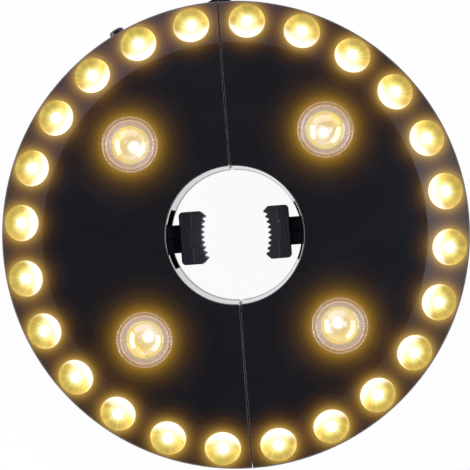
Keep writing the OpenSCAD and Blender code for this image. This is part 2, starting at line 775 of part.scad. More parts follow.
// A cell along Y with its button at the end that way points to
module cell(side, row, way) {
    color(cell_silver) place(side) translate([cell_x[row], way * (bay_l / 2 - contact_t - 0.05), cell_z])
        rotate([way * 90, 0, 0]) rotate_extrude($fn = 72) polygon([[0, 0], [2.75, 0], [2.75, 1],
            [cell_d / 2 - 0.6, 1], [cell_d / 2, 1.6], [cell_d / 2, cell_l - 0.6],
            [cell_d / 2 - 0.6, cell_l], [0, cell_l]]);
}

// A tapered coil presses on the flat end of each cell
function cell_coil() = coil(cell_d / 2 - 2.4, 2.2, cell_wire_d / 2 + 0.05,
    bay_l - 2 * contact_t - cell_l - cell_wire_d / 2 - 0.1, 0, 3.5, 12);

module cell_springs(side) {
    color(steel) place(side) for (row = [0, 1]) {
        way = row == 0 ? -1 : 1;
        translate([cell_x[row], way * (bay_l / 2 - contact_t), cell_z])
            rotate([way * 90, 0, 0]) wire(cell_coil(), cell_wire_d);
    }
}

// Sprung-steel plates against both ends of the bay
module cell_plates(side) {
    color(steel) place(side) for (row = [0, 1], s = [-1, 1])
        translate([cell_x[row] - contact_w / 2, s > 0 ? bay_l / 2 - contact_t : -bay_l / 2,
            cell_z - contact_h / 2])
            cube([contact_w, contact_t, contact_h]);
}

// Door with a rounded hinge end, two pins and finger ridges at its other end
module battery_door(side) {
    w = bay_w + 2 * door_lip;
    color(shell_black) place(side) translate([bay_mid, 0, door_z]) difference() {
        union() {
            translate([-w / 2, -bay_l / 2 - door_lip, 0])
                cube([w, bay_l / 2 + door_lip + door_axis_y, door_t]);
            translate([-w / 2, door_axis_y, door_t / 2]) rotate([0, 90, 0]) cylinder(d = door_t, h = w);
            translate([-w / 2 - door_pin_l, door_axis_y, door_t / 2]) rotate([0, 90, 0])
                cylinder(r = door_pin_r, h = w + 2 * door_pin_l);
        }
        for (i = [0:4]) translate([-ridge_l / 2, -bay_l / 2 + 2 + i * 3 * ridge_r, -0.4 * ridge_r])
            rotate([0, 90, 0]) cylinder(r = ridge_r, h = ridge_l, $fn = 24);
    }
}

module push_button() {
    foot = switch_top + plunger_h + button_travel + 0.1;
    color(shell_black) mirror([1, 0, 0]) at_button() rotate_extrude($fn = 48) polygon(concat(
        [[0, foot], [plunger_r, foot], [plunger_r, button_back],
         [button_flange_r, button_back], [button_flange_r, button_seat],
         [button_d / 2, button_seat]],
        arc(button_d / 2 - 1, body_r + button_out - 1, 1, 0, 90, 4), [[0, body_r + button_out]]));
}

function button_coil() = coil(button_coil_r, button_coil_r, switch_top + button_wire_d / 2 + fit,
    button_back - button_wire_d / 2 - fit, 0, button_turns, 14);

module button_spring() {
    color(steel) mirror([1, 0, 0]) at_button() wire(button_coil(), button_wire_d);
}

module tact_switch() {
    color(steel) mirror([1, 0, 0]) at_button() {
        translate([-switch_w / 2, -switch_w / 2, switch_top - switch_h + fit / 2])
            cube([switch_w, switch_w, switch_h - fit / 2]);
        translate([0, 0, switch_top - eps]) cylinder(r = plunger_r, h = plunger_h + eps);
    }
}

module control_board() {
    color(board_white) mirror([1, 0, 0]) rotate([0, 0, 90 - button_angle])
        translate([switch_top - switch_h - control_t, -control_w / 2, button_z - control_h / 2])
            cube([control_t, control_w, control_h]);
}

// ---- back ----------------------------------------------------------------------------

module housing_screws(side) {
    color(steel) place(side) at_screws() translate([0, 0, screw_head_z]) difference() {
        rotate_extrude($fn = 36) polygon([[0, 0], [screw_head_r - 0.5, 0], [screw_head_r, 0.5],
            [screw_head_r, screw_head_t], [screw_d / 2, screw_head_t],
            [screw_d / 2, screw_top - screw_head_z - 1], [0, screw_top - screw_head_z]]);
        for (a = [0, 90]) rotate([0, 0, a])
            translate([-0.6 * screw_head_r, -0.13 * screw_head_r, -1])
                cube([1.2 * screw_head_r, 0.26 * screw_head_r, 1 + screw_head_t / 2]);
    }
}

// Hook that folds flat into the back: a pivot bar, a shank and a half ring with a tip
module hook(side) {
    r = hook_w / 2;
    color(shell_black) place(side) at_hook(side) translate([hook_at[0], hook_at[1], hook_z]) {
        linear_extrude(hook_t) {
            translate([r - hook_bar, 0]) square([hook_bar, hook_l]);
            translate([-r, hook_l - 5]) square([hook_bar, 5]);
            translate([0, hook_l]) intersection() {
                difference() {
                    circle(r = r);
                    circle(r = r - hook_bar);
                }
                translate([-r, 0]) square([2 * r, r]);
            }
        }
        translate([-r, 0, hook_t / 2]) rotate([0, 90, 0]) cylinder(d = hook_t, h = hook_w);
        translate([-r - hook_pin_l + 0.2, 0, hook_t / 2]) rotate([0, 90, 0])
            cylinder(r = hook_pin_r, h = hook_w + 2 * hook_pin_l - 0.4);
    }
}

echo(hinge_spring_gap = least_gap(hinge_path(), hinge_wire_d, 8));
echo(jaw_spring_gap = least_gap(jaw_coil(), jaw_wire_d, 6));
echo(cell_spring_gap = least_gap(cell_coil(), cell_wire_d, 6));
echo(button_spring_gap = least_gap(button_coil(), button_wire_d, 7));

front_shell_right();
rear_shell_right();
lamp_board(1);  // lamp_board_right
reflector_ring(1);  // reflector_ring_right
ring_lamps(1);  // ring_lamps_right
spot_reflectors(1);  // spot_reflectors_right
spot_lamps(1);  // spot_lamps_right
spot_lens(1, 1);  // spot_lens_upper_right
spot_lens(1, -1);  // spot_lens_lower_right
jaw_guide(1);  // jaw_guide_right
jaw_holder(1);  // jaw_holder_right
jaw_pad(1);  // jaw_pad_right
jaw_spring(1);  // jaw_spring_right
cell(1, 0, 1);  // cell_inner_right
cell(1, 1, -1);  // cell_outer_right
cell_springs(1);  // cell_springs_right
cell_plates(1);  // cell_plates_right
battery_door(1);  // battery_door_right
housing_screws(1);  // housing_screws_right
hook(1);  // hook_right
front_shell_left();
rear_shell_left();
lamp_board(-1);  // lamp_board_left
reflector_ring(-1);  // reflector_ring_left
ring_lamps(-1);  // ring_lamps_left
spot_reflectors(-1);  // spot_reflectors_left
spot_lamps(-1);  // spot_lamps_left
spot_lens(-1, 1);  // spot_lens_upper_left
spot_lens(-1, -1);  // spot_lens_lower_left
jaw_guide(-1);  // jaw_guide_left
jaw_holder(-1);  // jaw_holder_left
jaw_pad(-1);  // jaw_pad_left
jaw_spring(-1);  // jaw_spring_left
cell(-1, 0, 1);  // cell_inner_left
cell(-1, 1, -1);  // cell_outer_left
cell_springs(-1);  // cell_springs_left
cell_plates(-1);  // cell_plates_left
battery_door(-1);  // battery_door_left
housing_screws(-1);  // housing_screws_left
hook(-1);  // hook_left
push_button();
button_spring();
tact_switch();
control_board();
hinge_pin();
hinge_spring();
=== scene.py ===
import math

import bpy
from mathutils import Matrix, Vector


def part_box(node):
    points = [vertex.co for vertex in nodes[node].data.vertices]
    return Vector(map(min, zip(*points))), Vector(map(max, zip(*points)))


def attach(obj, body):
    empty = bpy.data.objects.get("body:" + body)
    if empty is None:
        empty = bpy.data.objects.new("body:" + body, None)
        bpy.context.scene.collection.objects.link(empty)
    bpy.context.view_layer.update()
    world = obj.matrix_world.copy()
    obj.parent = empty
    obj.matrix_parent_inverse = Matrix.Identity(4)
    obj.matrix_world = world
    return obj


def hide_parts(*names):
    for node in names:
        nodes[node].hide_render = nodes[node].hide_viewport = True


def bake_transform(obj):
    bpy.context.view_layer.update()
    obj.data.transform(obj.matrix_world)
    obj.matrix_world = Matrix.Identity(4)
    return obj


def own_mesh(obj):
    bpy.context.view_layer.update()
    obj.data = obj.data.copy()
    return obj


# The looks of an umbrella pole light: 24 small lamps in metallised cups, four domed spot lamps,
# satin black housing and toothed jaws. It lies on its back with the lamp face up.

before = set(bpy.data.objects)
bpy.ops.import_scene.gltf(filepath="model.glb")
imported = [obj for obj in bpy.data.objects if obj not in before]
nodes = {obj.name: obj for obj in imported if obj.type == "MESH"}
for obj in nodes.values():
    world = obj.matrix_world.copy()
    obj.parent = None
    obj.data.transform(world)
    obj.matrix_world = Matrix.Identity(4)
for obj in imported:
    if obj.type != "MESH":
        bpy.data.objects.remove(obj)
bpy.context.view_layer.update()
sides = {"right": 1, "left": -1}
mm = 0.001
print("frame loaded,", len(nodes), "nodes")

# Sizes that pieces and patterns are measured from, in mm
housing = {
    "faceHeight": 40.0,
    "bandRadius": 81.5,      # where the flat face meets the sloped band
    "holeRadius": 29.3,
    "cupRing": 91.0,         # circle of the 24 cups
    "cupCount": 24,
    "cupLean": 15.0,         # degrees that the cups lean outwards, as the band does
    "lipRadius": 7.65,       # inside of a cup's lip
    "spotRing": 58.7,        # circle of the four spot lamps
    "lensRadius": 11.9,
    "pinRadius": 101.2,      # hinge pin's distance from the pole's axis
}
cupPitch = 2 * math.pi / housing["cupCount"]
cupLean = math.radians(housing["cupLean"])
cupHeight = housing["faceHeight"] - (housing["cupRing"] - housing["bandRadius"]) * math.tan(cupLean)
spotHome = housing["spotRing"] / math.sqrt(2)


def linear(hexColour):
    # sRGB hex to the linear values that the shaders take
    out = []
    for i in (1, 3, 5):
        c = int(hexColour[i:i + 2], 16) / 255
        out.append(c / 12.92 if c <= 0.04045 else ((c + 0.055) / 1.055) ** 2.4)
    return (*out, 1.0)


def setSockets(tree, node, values):
    # a node, an output or a plain value for each socket, by name or in order
    for socket, value in (values if isinstance(values, dict) else dict(enumerate(values))).items():
        if isinstance(value, bpy.types.Node):
            value = next(out for out in value.outputs if out.enabled)
        if isinstance(value, bpy.types.NodeSocket):
            tree.links.new(value, node.inputs[socket])
        else:
            node.inputs[socket].default_value = value


def addNode(tree, kind, values=(), stops=(), **settings):
    # stops: position and hex colour of each step of a colour ramp
    # a Mix node's two inputs are 2 and 3 for numbers, 6 and 7 for colours
    node = tree.nodes.new("ShaderNode" + kind)
    for key, value in settings.items():
        setattr(node, key, value)
    setSockets(tree, node, values)
    for i, (position, colour) in enumerate(stops):
        elements = node.color_ramp.elements
        element = elements[i] if i < 2 else elements.new(position)
        element.position, element.color = position, linear(colour)
    return node


smooth = {"interpolation_type": "SMOOTHSTEP"}
noiseReach = (0.3, 0.7)      # most of a noise's values lie between these


def newMaterial(name):
    material = bpy.data.materials.new(name)
    material.use_nodes = True
    tree = material.node_tree
    return material, tree, tree.nodes["Principled BSDF"]


def objectMm(tree):
    # position in the piece's own frame, in mm
    coords = addNode(tree, "TexCoord").outputs["Object"]
    return addNode(tree, "VectorMath", {0: coords, "Scale": 1 / mm}, operation="SCALE")


def roughAround(tree, noise, look):
    # roughness that wanders round its middle value
    low, high = look["roughness"] - look["roughnessSpread"], look["roughness"] + look["roughnessSpread"]
    return addNode(tree, "MapRange", (noise, *noiseReach, low, high))


def grain(tree, bsdf, where, look, polished=0.0, polish=0.0):
    # mould grain that roughens the surface and raises it a little, less so where it is polished
    noise = addNode(tree, "TexNoise", {"Vector": where, "Scale": 1 / look["grainMm"], "Detail": 3.0})
    rough = addNode(tree, "Mix", {0: polished, 2: roughAround(tree, noise, look), 3: polish})
    relief = addNode(tree, "Math", (1.0, polished), operation="SUBTRACT")
    bump = addNode(tree, "Bump", {"Height": noise, "Distance": look["grainDepthMm"] * mm, "Strength": relief})
    setSockets(tree, bsdf, {"Roughness": rough, "Normal": bump})
    return noise


def colourAt(tree, distance, stops):
    # colours at distances in mm
    first, last = stops[0][0], stops[-1][0]
    place = addNode(tree, "MapRange", (distance, first, last))
    return addNode(tree, "ValToRGB", (place,), [((at - first) / (last - first), hue) for at, hue in stops])


def paintedEdgeHighlight(tree, tone, distance, look):
    # painted highlight: a thin pale line on what looks up, along an edge
    line = addNode(tree, "Math", (distance, look["edgeAtMm"], look["edgeHalfMm"]), operation="COMPARE")
    highlightMask = addNode(tree, "Math", (line, facingUp(tree)), operation="MULTIPLY", use_clamp=True)
    return addNode(tree, "Mix", {0: highlightMask, 6: tone, 7: linear(look["edgeHighlightColour"])}, data_type="RGBA")


def paint(material, *names):
    for name in names:
        mesh = nodes[name].data
        mesh.materials.clear()
        mesh.materials.append(material)


def bothSides(*names):
    return [f"{name}_{side}" for name in names for side in sides]


# Places on the face that the lamplight is measured from

def poleDistance(tree):
    flat = addNode(tree, "VectorMath", (objectMm(tree), (1, 1, 0)), operation="MULTIPLY")
    return addNode(tree, "VectorMath", (flat,), operation="LENGTH")


def nearestCup(tree):
    # position turned about the pole's axis until the nearest cup's middle lies on +X
    where = objectMm(tree)
    x, y = addNode(tree, "SeparateXYZ", (where,)).outputs[:2]
    turn = addNode(tree, "Math", (y, x), operation="ARCTAN2")
    step = addNode(tree, "Math", (turn, cupPitch), operation="SNAP")
    back = addNode(tree, "Math", (step, -1.0, -cupPitch / 2), operation="MULTIPLY_ADD")
    return addNode(tree, "VectorRotate", {"Vector": where, "Angle": back}, rotation_type="Z_AXIS")


def cupPlace(tree):
    # in the frame of the nearest cup, from the middle of its lip: outwards, across and above
    lip = (housing["cupRing"], 0, cupHeight)
    moved = addNode(tree, "VectorMath", (nearestCup(tree), lip), operation="SUBTRACT")
    return addNode(tree, "VectorRotate", {"Vector": moved, "Angle": -cupLean}, rotation_type="Y_AXIS")


def toSpotLamp(tree):
    # distance from the axis of the nearest spot lamp; the four are alike in both directions
    flat = addNode(tree, "VectorMath", (objectMm(tree), (1, 1, 0)), operation="MULTIPLY")
    folded = addNode(tree, "VectorMath", (flat,), operation="ABSOLUTE")
    return addNode(tree, "VectorMath", (folded, (spotHome, spotHome, 0)), operation="DISTANCE")


def facingUp(tree):
    return addNode(tree, "SeparateXYZ", (addNode(tree, "TexCoord").outputs["Normal"],)).outputs["Z"]


paintedGlowLook = {
    # painted lamplight glow on the black face, in mm from the lip of a cup and from the edge of a lens
    "cup": ((0.0, "#af8b42"), (0.7, "#97742a"), (1.6, "#7c5c15"), (2.8, "#5f4205"), (4.5, "#3f2801"),
            (7.0, "#211000"), (11.0, "#000000")),
    "spot": ((0.0, "#9b7627"), (1.0, "#87640f"), (2.5, "#6c4e02"), (4.5, "#503700"), (7.0, "#362200"),
             (11.0, "#1a0d00"), (17.0, "#000000")),
    "high": (33.0, 34.5),    # mm above the back where it starts and is full
    "up": (0.5, 0.85),       # how far a surface looks up where it starts and is full
}


def paintedLampGlow(tree):
    look = paintedGlowLook
    flat = addNode(tree, "VectorMath", (nearestCup(tree), (1, 1, 0)), operation="MULTIPLY")
    past = addNode(tree, "Math", (toSpotLamp(tree), housing["lensRadius"]), operation="SUBTRACT")
    light = colourAt(tree, past, look["spot"])
    for beside in (-cupPitch, 0, cupPitch):    # the nearest cup and one on each side of it
        middle = (housing["cupRing"] * math.cos(beside), housing["cupRing"] * math.sin(beside), 0)
        away = addNode(tree, "VectorMath", (flat, middle), operation="DISTANCE")
        past = addNode(tree, "Math", (away, housing["lipRadius"]), operation="SUBTRACT")
        light = addNode(tree, "VectorMath", (light, colourAt(tree, past, look["cup"])), operation="ADD")
    z = addNode(tree, "SeparateXYZ", (objectMm(tree),)).outputs["Z"]
    high = addNode(tree, "MapRange", (z, *look["high"]), **smooth)
    up = addNode(tree, "MapRange", (facingUp(tree), *look["up"]), **smooth)
    paintedGlow = addNode(tree, "Math", (up, high), operation="MULTIPLY")
    return addNode(tree, "VectorMath", {0: light, "Scale": paintedGlow}, operation="SCALE")


absLook = {
    "tones": ((0.35, "#0b0b0c"), (0.7, "#131315")),
    "ior": 1.54,
    "roughness": 0.27,
    "roughnessSpread": 0.03,
    "grainMm": 0.5,          # spark-eroded mould grain of about 0.1 mm, drawn coarser so that it shows
    "grainDepthMm": 0.004,
    "cloudMm": 22.0,         # slow change of tone where the plastic cooled unevenly
    "cloudShare": 0.65,      # of the clouds in the tone; the grain has the rest
    "polish": 0.05,          # roughness of the hole's wall, which a polished core moulds
    "polishPastMm": (0.25, 0.05),    # past the hole's radius, where the polish starts and is full
    "polishAboveMm": (11.0, 12.0),   # above the back, likewise
    "edgeHighlightColour": "#3c3c3c",         # painted highlight along the edges where the two halves meet
    "edgeAtMm": 0.0,
    "edgeHalfMm": 0.42,
}


def mouldedAbsSatin(paintedGlow):
    # moulded ABS, spark-eroded mould: deep black with a soft, slightly sparkling sheen, a painted highlight
    # along the seam and, in the face's copy, painted lamplight round the cups and lenses
    material, tree, bsdf = newMaterial("mouldedAbsSatinPaintedGlow" if paintedGlow else "mouldedAbsSatin")
    look = absLook
    where = objectMm(tree)
    apart = addNode(tree, "SeparateXYZ", (where,)).outputs
    start, full = (housing["holeRadius"] + past for past in look["polishPastMm"])
    wall = addNode(tree, "MapRange", (poleDistance(tree), start, full))
    high = addNode(tree, "MapRange", (apart["Z"], *look["polishAboveMm"]))
    polished = addNode(tree, "Math", (wall, high), operation="MULTIPLY")
    noise = grain(tree, bsdf, where, look, polished, look["polish"])
    cloud = addNode(tree, "TexNoise", {"Vector": where, "Scale": 1 / look["cloudMm"]})
    both = addNode(tree, "Mix", {0: look["cloudShare"], 2: noise, 3: cloud})
    # painted highlight along the seam where the two halves meet
    tone = paintedEdgeHighlight(tree, addNode(tree, "ValToRGB", (both,), look["tones"]), apart["X"], look)
    setSockets(tree, bsdf, {"Base Color": tone, "IOR": look["ior"]})
    # the face's copy: painted lamplight glow, as emission round the cups and spot lenses
    if paintedGlow:
        setSockets(tree, bsdf, {"Emission Color": paintedLampGlow(tree), "Emission Strength": 1.0})
    return material


nylonLook = {
    "tones": ((0.3, "#0f0f11"), (0.75, "#19191c")),
    "ior": 1.53,
    "roughness": 0.44,
    "roughnessSpread": 0.05,
    "grainMm": 0.7,
    "grainDepthMm": 0.006,
    "edgeHighlightColour": "#46464c",     # painted highlight along the edge of a jaw's plate, where its pad starts
    "edgeAtMm": 18.375,
    "edgeHalfMm": 0.175,
}


def mouldedNylonMatt():
    # moulded nylon: black, a little greyer and duller than the housing, with a painted highlight where a
    # jaw's plate meets its pad
    material, tree, bsdf = newMaterial("mouldedNylonMatt")
    look = nylonLook
    where = objectMm(tree)
    tone = addNode(tree, "ValToRGB", (grain(tree, bsdf, where, look),), look["tones"])
    x = addNode(tree, "SeparateXYZ", (where,)).outputs["X"]
    # painted highlight along the edge of a jaw's plate where its pad starts
    tone = paintedEdgeHighlight(tree, tone, addNode(tree, "Math", (x,), operation="ABSOLUTE"), look)
    setSockets(tree, bsdf, {"Base Color": tone, "IOR": look["ior"]})
    return material


rubberLook = {
    "tones": ((0.35, "#0d0d0f"), (0.8, "#1c1c20")),
    "ior": 1.52,
    "roughness": 0.62,
    "roughnessSpread": 0.06,
    "grainMm": 0.4,
    "grainDepthMm": 0.008,
}


def mouldedRubber():
    # moulded rubber: near black, no sharp highlight, a trace of dust in the grain
    material, tree, bsdf = newMaterial("mouldedRubber")
    look = rubberLook
    tone = addNode(tree, "ValToRGB", (grain(tree, bsdf, objectMm(tree), look),), look["tones"])
    setSockets(tree, bsdf, {"Base Color": tone, "IOR": look["ior"]})
    return material


cupLook = {
    "tones": ((0.3, "#9c8442"), (0.8, "#8a7236")),
    "roughness": 0.42,
    "roughnessSpread": 0.04,
    "grainMm": 2.6,          # slow ripple of the moulding under the metal skin
    "grainDepthMm": 0.015,
    # painted lamplight: emission on the skin, in mm from the lamp's axis
    "glow": ((2.6, "#f0eec8"), (3.4, "#dcdc9c"), (4.3, "#d0c67c"), (5.1, "#ae9e4e"), (6.0, "#968440"),
             (7.2, "#98843e")),
    "streaks": 5.0,          # how close together the painted light streaks are that run out from the lamp
    "streakShare": (0.5, 1.5),
    "streakDriftMm": 20.0,   # they change over this distance, so that no two cups are alike
    # pairs in mm outwards of the lamp's axis: where each thing starts and is full
    "outer": (0.0, 7.0),     # the side away from the disc's centre, with this much more painted light
    "outerShare": 1.4,
    "facing": (0.3, -4.2),   # painted reflection of the lamp on the wall that faces its lens, on the side toward the centre
    "paintedReflectionColour": "#fffffa",
    "lipSide": (3.0, -0.5),  # painted highlight on the inside of the lip
    "paintedLipHighlightColour": "#d8cc84",
    "lipFrom": (6.9, 7.5),   # mm from the lamp's axis, likewise
    "collarFrom": (-0.06, 0.04),     # past the lip's radius, likewise
    # painted glow on the collar outside the lip, by mm outwards
    "collar": ((-7.0, "#8a7236"), (0.0, "#846c32"), (7.0, "#967a38")),
    "litAbove": (-2.9, -2.3),        # from the plane of the lip
}


def metallisedPlastic():
    # vacuum-metallised plastic: a warm metal skin, a little wavy, with the lamp's light on it painted as
    # emission
    material, tree, bsdf = newMaterial("metallisedPlastic")
    look = cupLook
    where = objectMm(tree)
    tone = addNode(tree, "ValToRGB", (grain(tree, bsdf, where, look),), look["tones"])

    place = cupPlace(tree)
    apart = addNode(tree, "SeparateXYZ", (place,)).outputs
    outward, above = apart["X"], apart["Z"]
    level = addNode(tree, "VectorMath", (place, (1, 1, 0)), operation="MULTIPLY")
    away = addNode(tree, "VectorMath", (level,), operation="LENGTH")
    ray = addNode(tree, "VectorMath", (level,), operation="NORMALIZE")
    spread = addNode(tree, "VectorMath", {0: ray, "Scale": look["streaks"]}, operation="SCALE")
    drift = (1 / look["streakDriftMm"],) * 3
    seed = addNode(tree, "VectorMath", (where, drift, spread), operation="MULTIPLY_ADD")
    streak = addNode(tree, "TexNoise", {"Vector": seed, "Scale": 1.0, "Detail": 3.0})
    share = addNode(tree, "MapRange", (streak, 0.0, 1.0, *look["streakShare"]))
    outer = addNode(tree, "MapRange", (outward, *look["outer"], 1.0, look["outerShare"]), **smooth)
    share = addNode(tree, "Math", (share, outer), operation="MULTIPLY")
    light = colourAt(tree, away, look["glow"])
    light = addNode(tree, "VectorMath", {0: light, "Scale": share}, operation="SCALE")

    lip = addNode(tree, "Math", (addNode(tree, "MapRange", (away, *look["lipFrom"]), **smooth),
                                 addNode(tree, "MapRange", (outward, *look["lipSide"]), **smooth)),
                  operation="MULTIPLY")
    facing = addNode(tree, "MapRange", (outward, *look["facing"]), **smooth)
    past = (housing["lipRadius"] + step for step in look["collarFrom"])
    collar = addNode(tree, "MapRange", (away, *past))
    # painted highlight on the lip, painted reflection of the lamp on the wall facing it and painted glow on
    # the collar
    for part, colour in ((lip, linear(look["paintedLipHighlightColour"])), (facing, linear(look["paintedReflectionColour"])),
                         (collar, colourAt(tree, outward, look["collar"]))):
        light = addNode(tree, "Mix", {0: part, 6: light, 7: colour}, data_type="RGBA")
    paintedGlow = addNode(tree, "MapRange", (above, *look["litAbove"]), **smooth)
    setSockets(tree, bsdf, {"Base Color": tone, "Metallic": 1.0, "Emission Color": light,
                            "Emission Strength": paintedGlow})
    return material


lampLook = {
    # from the side of the round top to its tip
    "light": ((0.05, "#f6e07a"), (0.4, "#fdf6c4"), (0.75, "#fffff0"), (1.0, "#ffffff")),
    "strengthFrom": (0.2, 0.9),      # how far a surface faces the lamp's way: here the two strengths hold
    "strength": (0.9, 2.0),
    "body": "#fff0c8",
    "ior": 1.54,
    "roughness": 0.15,
}


def castEpoxy():
    # cast clear epoxy over a lit chip: white-hot towards its tip, yellow towards its side
    material, tree, bsdf = newMaterial("castEpoxy")
    look = lampLook
    flat = addNode(tree, "VectorMath", (objectMm(tree), (1, 1, 0)), operation="MULTIPLY")
    outwards = addNode(tree, "VectorMath", (flat,), operation="NORMALIZE")
    lean = (math.sin(cupLean),) * 3
    axis = addNode(tree, "VectorMath", (outwards, lean, (0, 0, math.cos(cupLean))), operation="MULTIPLY_ADD")
    normal = addNode(tree, "TexCoord").outputs["Normal"]
    facing = addNode(tree, "VectorMath", (normal, axis), operation="DOT_PRODUCT")
    light = addNode(tree, "ValToRGB", (facing,), look["light"])
    strength = addNode(tree, "MapRange", (facing, *look["strengthFrom"], *look["strength"]))
    setSockets(tree, bsdf, {"Base Color": linear(look["body"]), "Roughness": look["roughness"],
                            "IOR": look["ior"], "Emission Color": light, "Emission Strength": strength})
    return material


spotLook = {
    # painted lamplight, as emission on the wall of a spot reflector, mm from its axis
    "wall": ((2.5, "#fbf8c4"), (4.5, "#f0ea98"), (6.5, "#d0c464"), (8.5, "#726a34")),
    "strength": 0.55,
    "tones": ((0.3, "#d6d2a6"), (0.8, "#c8c294")),
    "roughness": 0.25,
    "roughnessSpread": 0.04,
    "grainMm": 2.6,
    "grainDepthMm": 0.015,
}


def metallisedSpot():
    # the same metal skin in the spot reflectors, with lamplight painted on it as emission under the clear
    # dome
    material, tree, bsdf = newMaterial("metallisedSpotReflector")
    look = spotLook
    tone = addNode(tree, "ValToRGB", (grain(tree, bsdf, objectMm(tree), look),), look["tones"])
    light = colourAt(tree, toSpotLamp(tree), look["wall"])
    setSockets(tree, bsdf, {"Base Color": tone, "Metallic": 1.0, "Emission Color": light,
                            "Emission Strength": look["strength"]})
    return material


phosphorLook = {
    "light": ((0.2, "#ffffff"), (1.2, "#fff9d8"), (2.4, "#ece08c")),    # mm from the chip's middle
    "strengthFrom": (0.1, 1.5),      # mm from the chip's middle, where the two strengths hold
    "strength": (2.4, 0.62),
    "body": "#f2c255",
    "roughness": 0.4,
}


def phosphorSilicone():
    # silicone filled with phosphor over the spot lamp's chip: hot centre, yellow edge
    material, tree, bsdf = newMaterial("phosphorSilicone")
    look = phosphorLook
    away = toSpotLamp(tree)
    strength = addNode(tree, "MapRange", (away, *look["strengthFrom"], *look["strength"]), **smooth)
    setSockets(tree, bsdf, {"Base Color": linear(look["body"]), "Roughness": look["roughness"],
                            "Emission Color": colourAt(tree, away, look["light"]),
                            "Emission Strength": strength})
    return material


lensLook = {
    "tint": "#faf8fd",
    "ior": 1.585,
    "coatIor": 1.6,
    "roughness": 0.02,
    "roughnessSpread": 0.02,
    "hazeMm": 2.0,           # patches of slightly duller polish
    # painted light rings, as emission on the flange at its steps: mm from the lens's axis
    "rings": ((7.4, "#000000"), (7.75, "#4a4228"), (8.1, "#c0ac90"), (8.6, "#b09c90"), (9.6, "#9a8a8c"),
              (10.1, "#b8a8a8"), (10.5, "#8a7a72"), (10.8, "#5c4a38"), (11.2, "#5a4830"), (11.6, "#9a8468"),
              (11.9, "#4a3820")),
    "paintedRingStrength": 0.4,
    "ringUp": (0.0, 0.3),    # how far a surface looks up where that light starts and is full
}


def polishedPolycarbonate():
    # polished clear polycarbonate with a hard coat: glassy, with sharp reflections and painted light rings on
    # its flange
    material, tree, bsdf = newMaterial("polishedPolycarbonate")
    look = lensLook
    noise = addNode(tree, "TexNoise", {"Vector": objectMm(tree), "Scale": 1 / look["hazeMm"]})
    up = addNode(tree, "MapRange", (facingUp(tree), *look["ringUp"], 0.0, look["paintedRingStrength"]), **smooth)
    setSockets(tree, bsdf, {"Base Color": linear(look["tint"]), "Transmission Weight": 1.0,
                            "IOR": look["ior"], "Coat Weight": 1.0, "Coat IOR": look["coatIor"],
                            "Roughness": roughAround(tree, noise, look),
                            "Emission Color": colourAt(tree, toSpotLamp(tree), look["rings"]),
                            "Emission Strength": up})
    return material


boardLook = {
    "mask": "#e9e7df",
    "track": "#d6d4c6",
    "trackMm": 3.2,
    "trackWidth": 0.03,
    "roughness": 0.38,
    "paintedGlow": ((2.9, "#b4a860"), (4.0, "#a0944c"), (5.0, "#000000")),   # painted lamplight, mm from a spot lamp's axis
}


def solderMaskBoard():
    # white solder mask on glass fibre: chalky white with faint tracks under it, and lamplight painted round
    # each spot lamp
    material, tree, bsdf = newMaterial("solderMaskBoard")
    look = boardLook
    mask = linear(look["mask"])
    tracks = addNode(tree, "TexBrick", {"Vector": objectMm(tree), "Color1": mask, "Color2": mask,
                                        "Mortar": linear(look["track"]), "Scale": 1 / look["trackMm"],
                                        "Mortar Size": look["trackWidth"]})
    setSockets(tree, bsdf, {"Base Color": tracks, "Roughness": look["roughness"],
                            "Emission Color": colourAt(tree, toSpotLamp(tree), look["paintedGlow"]),
                            "Emission Strength": 1.0})
    return material


steelLook = {
    "tones": ((0.3, "#a9abb0"), (0.7, "#c4c6ca")),
    "roughness": 0.24,
    "roughnessSpread": 0.06,
    "grainMm": 2.1,          # length of the drawn streaks
    "streakThin": 6.0,       # times as long as they are wide
    "grainDepthMm": 0.004,
}


def nickelPlatedSteel():
    # nickel-plated steel: bright, with faint drawn or turned streaks
    material, tree, bsdf = newMaterial("nickelPlatedSteel")
    look = steelLook
    where = addNode(tree, "Mapping", {"Vector": objectMm(tree), "Scale": (1.0, 1.0, look["streakThin"])})
    tone = addNode(tree, "ValToRGB", (grain(tree, bsdf, where, look),), look["tones"])
    setSockets(tree, bsdf, {"Base Color": tone, "Metallic": 1.0})
    return material


cellLook = {
    "sleeve": "#6f757c",
    "band": "#3c4046",
    "bandMm": (10.8, 11.2),  # from the cell's middle, where the band starts and is full
    "metallic": 0.6,
    "roughness": (0.25, 0.4),
    "rubsPerMm": 1.2,
}


def shrunkSleeve():
    # film shrunk on the cell: plain metallic grey with one darker band
    material, tree, bsdf = newMaterial("shrunkSleeve")
    look = cellLook
    where = objectMm(tree)
    y = addNode(tree, "SeparateXYZ", (where,)).outputs["Y"]
    along = addNode(tree, "Math", (y,), operation="ABSOLUTE")
    band = addNode(tree, "MapRange", (along, *look["bandMm"]))
    tone = addNode(tree, "ValToRGB", (band,), ((0.0, look["sleeve"]), (1.0, look["band"])))
    rubs = addNode(tree, "TexNoise", {"Vector": where, "Scale": look["rubsPerMm"]})
    rough = addNode(tree, "MapRange", (rubs, 0.0, 1.0, *look["roughness"]))
    setSockets(tree, bsdf, {"Base Color": tone, "Metallic": look["metallic"], "Roughness": rough})
    return material


